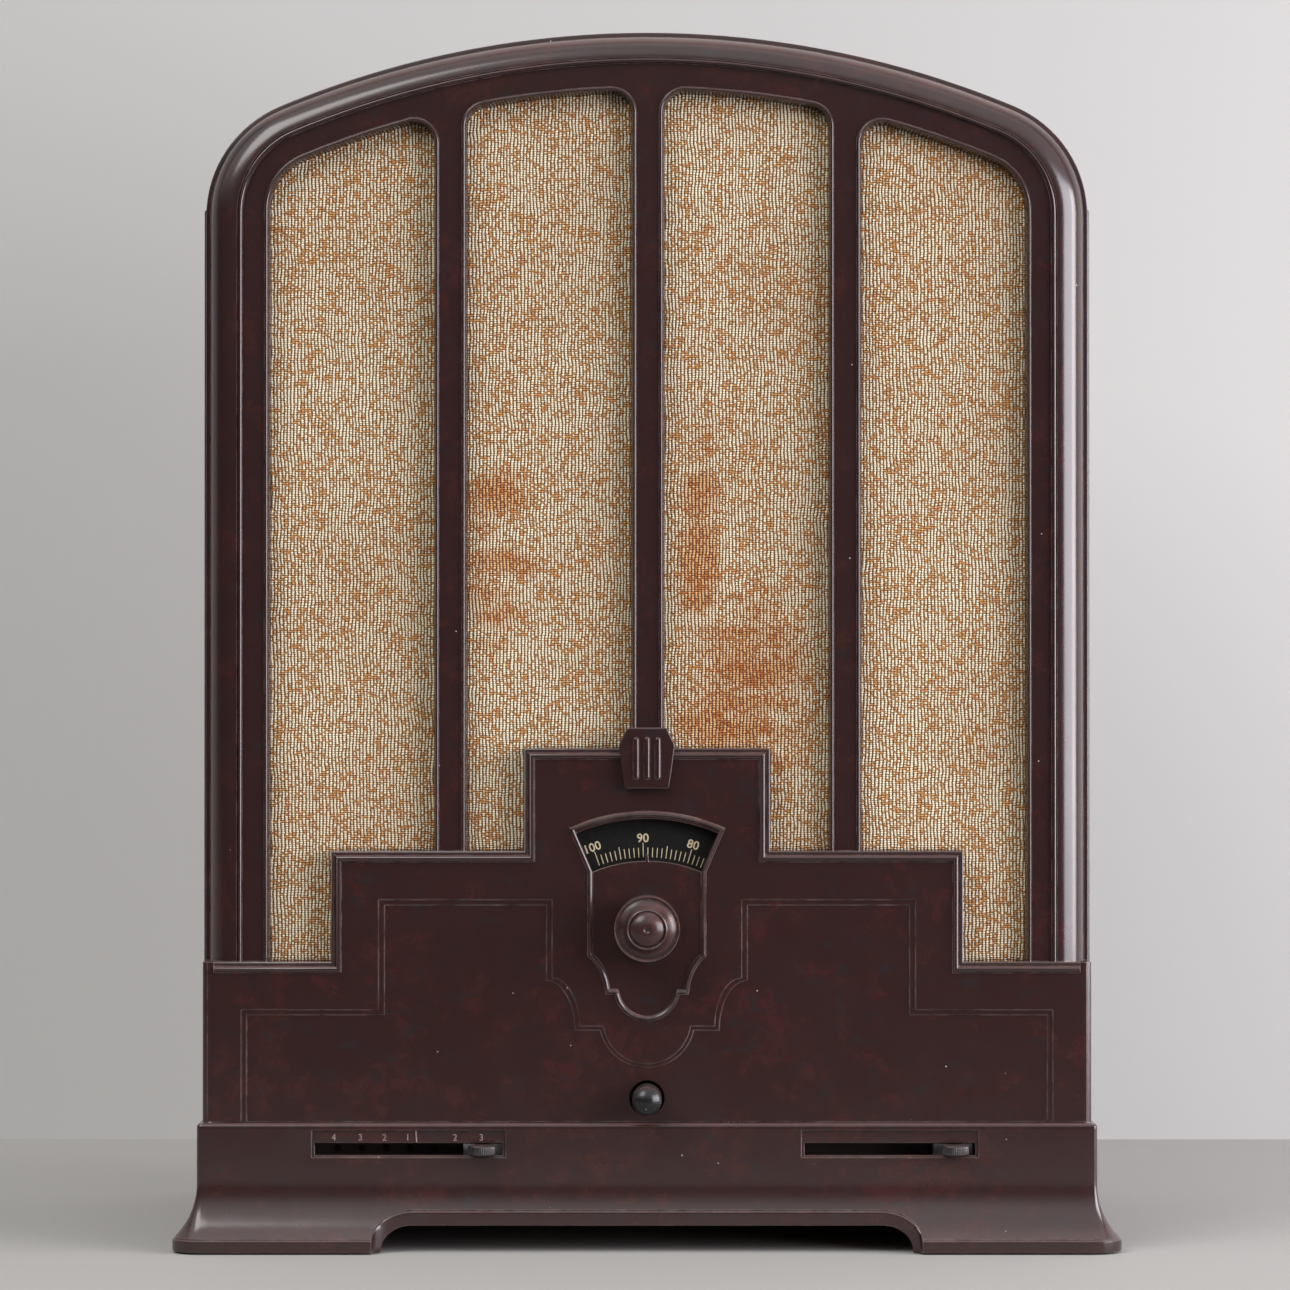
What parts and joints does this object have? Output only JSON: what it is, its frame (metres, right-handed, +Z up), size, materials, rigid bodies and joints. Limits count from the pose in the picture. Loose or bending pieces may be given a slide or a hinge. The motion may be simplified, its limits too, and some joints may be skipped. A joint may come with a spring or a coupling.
{
  "type": "table radio",
  "caption": "Upright table radio in a dark moulded bakelite hood and flared plinth, with tall cloth-backed windows, a turning dial behind a curved window, a tuning knob and two sliders.",
  "frame": {"origin": "centre of the footprint, on the surface that the felt pads stand on", "axes": "+Z up, the front faces -Y, +X to the right as seen from the front"},
  "size_m": [0.386, 0.254, 0.4983],
  "materials": {
    "bakelite": "mottled dark brown moulding, semi-gloss",
    "knob_brown": "brown moulding, polished",
    "moulded_black": "black moulding, semi-gloss",
    "grille_cloth": "slub weave of cream, tan and orange-brown yarn",
    "fibre_board": "pressed brown fibre board, matt",
    "plywood": "birch plywood, unfinished",
    "felt": "pressed felt",
    "steel_screws": "blued steel, dull",
    "plated_steel": "plated sheet steel, satin",
    "brass": "turned brass, slightly dull",
    "aluminium": "drawn aluminium, satin",
    "copper_wire": "enamelled copper winding",
    "laminate": "paper laminate, satin brown",
    "grey_paint": "grey stoving enamel",
    "varnished_paper": "varnished paper wrap",
    "cone_paper": "pressed paper pulp, matt",
    "dial_black": "black scale with cream marks, matt",
    "black_rubber": "moulded rubber",
    "clear_glass": "blown clear glass"
  },
  "bodies": {
    "cabinet": {"hood": "bakelite", "plinth": "bakelite", "keystone": "bakelite", "bottom_cover": "fibre_board", "bottom_cover_screws": "steel_screws", "felt_pads": "felt", "hood_screws": "steel_screws", "grille_cloth": "grille_cloth", "baffle_board": "plywood", "baffle_screws": "brass", "back_cover": "fibre_board", "back_cover_screws": "brass", "mains_grommet": "black_rubber", "speaker_gasket": "felt", "speaker_basket": "grey_paint", "speaker_cone": "cone_paper", "voice_coil": "copper_wire", "speaker_magnet": "grey_paint", "speaker_bolts": "plated_steel", "chassis": "plated_steel", "chassis_screws": "brass", "gang_frame": "plated_steel", "gang_stators": "aluminium", "gang_insulators": "laminate", "spindle_bush": "brass", "switch_body": "moulded_black", "lamp_holder": "brass", "dial_lamp": "clear_glass", "range_bracket": "plated_steel", "range_rod": "plated_steel", "range_board": "laminate", "range_contacts": "brass", "volume_bracket": "plated_steel", "volume_rod": "plated_steel", "volume_track": "laminate", "transformer_core": "grey_paint", "transformer_windings": "varnished_paper", "output_transformer": "grey_paint", "smoothing_capacitors": "aluminium", "coil_cans": "aluminium", "valve_holders": "moulded_black", "valve_bases": "moulded_black", "valve_bulbs": "clear_glass", "socket_strip": "laminate", "sockets": "brass"},
    "dial": {"gang_rotor": "aluminium", "drive_gear": "brass", "dial_carrier": "plated_steel", "dial_scale": "dial_black"},
    "tuning": {"tuning_spindle": "brass", "tuning_knob": "knob_brown", "tuning_knob_screw": "steel_screws"},
    "switch": {"switch_spindle": "plated_steel", "switch_knob": "moulded_black"},
    "range_slider": {"range_knob": "moulded_black", "range_carriage": "plated_steel"},
    "volume_slider": {"volume_knob": "moulded_black", "volume_carriage": "plated_steel"}
  },
  "joints": [
    {"name": "dial_turn", "type": "hinge", "parent": "cabinet", "child": "dial", "pos_m": [0, -0.07, 0.1018], "axis": [0, 1, 0], "range_deg": [-160.6, 19.4]},
    {"name": "tuning_knob_turn", "type": "hinge", "parent": "cabinet", "child": "tuning", "pos_m": [0, -0.11, 0.1318], "axis": [0, 1, 0], "range_deg": [-97.5, 803.5]},
    {"name": "switch_turn", "type": "hinge", "parent": "cabinet", "child": "switch", "pos_m": [0, -0.09, 0.0623], "axis": [0, 1, 0], "range_deg": [0, 90]},
    {"name": "range_slide", "type": "slide", "parent": "cabinet", "child": "range_slider", "axis": [1, 0, 0], "range_m": [-0.0596, 0]},
    {"name": "volume_slide", "type": "slide", "parent": "cabinet", "child": "volume_slider", "axis": [1, 0, 0], "range_m": [-0.0545, 0.0025]}
  ],
  "couplings": [
    {"joint": "tuning_knob_turn", "follows": "dial_turn", "ratio": -5}
  ]
}
